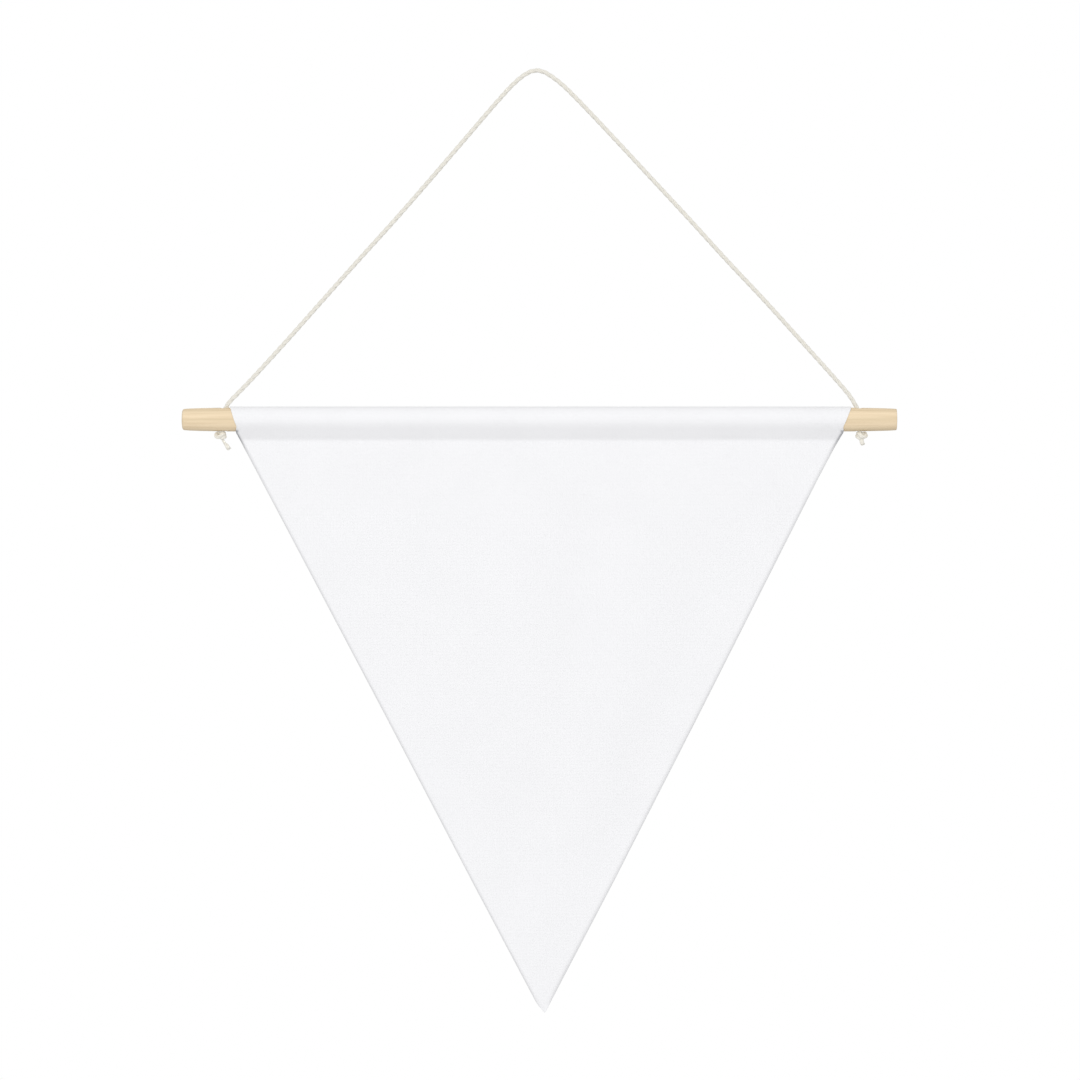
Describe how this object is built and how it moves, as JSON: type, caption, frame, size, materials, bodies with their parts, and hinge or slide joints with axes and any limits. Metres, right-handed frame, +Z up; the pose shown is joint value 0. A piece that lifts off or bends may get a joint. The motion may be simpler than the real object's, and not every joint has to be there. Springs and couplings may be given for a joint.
{
  "type": "pennant flag with hanging dowel",
  "caption": "Blank triangular pennant of white cloth, its sleeve threaded on a round wooden dowel that hangs from a looped cotton cord knotted under the dowel.",
  "frame": {"origin": "the point that the loop of cord hangs on, the underside of the cord at its top", "axes": "+X along the dowel, to the right as seen from the front; -Y out of the front of the cloth, towards the viewer; +Z up"},
  "size_m": [0.3, 0.0126, 0.3961],
  "materials": {
    "flag_cloth": "plain woven white polyester canvas, matt",
    "dowel_wood": "pale wood, sanded, unvarnished",
    "cotton_cord": "off-white twisted cotton, matt"
  },
  "bodies": {
    "root": {"dowel": "dowel_wood", "flag": "flag_cloth", "cord": "cotton_cord", "knot_left": "cotton_cord", "knot_right": "cotton_cord"}
  },
  "joints": []
}
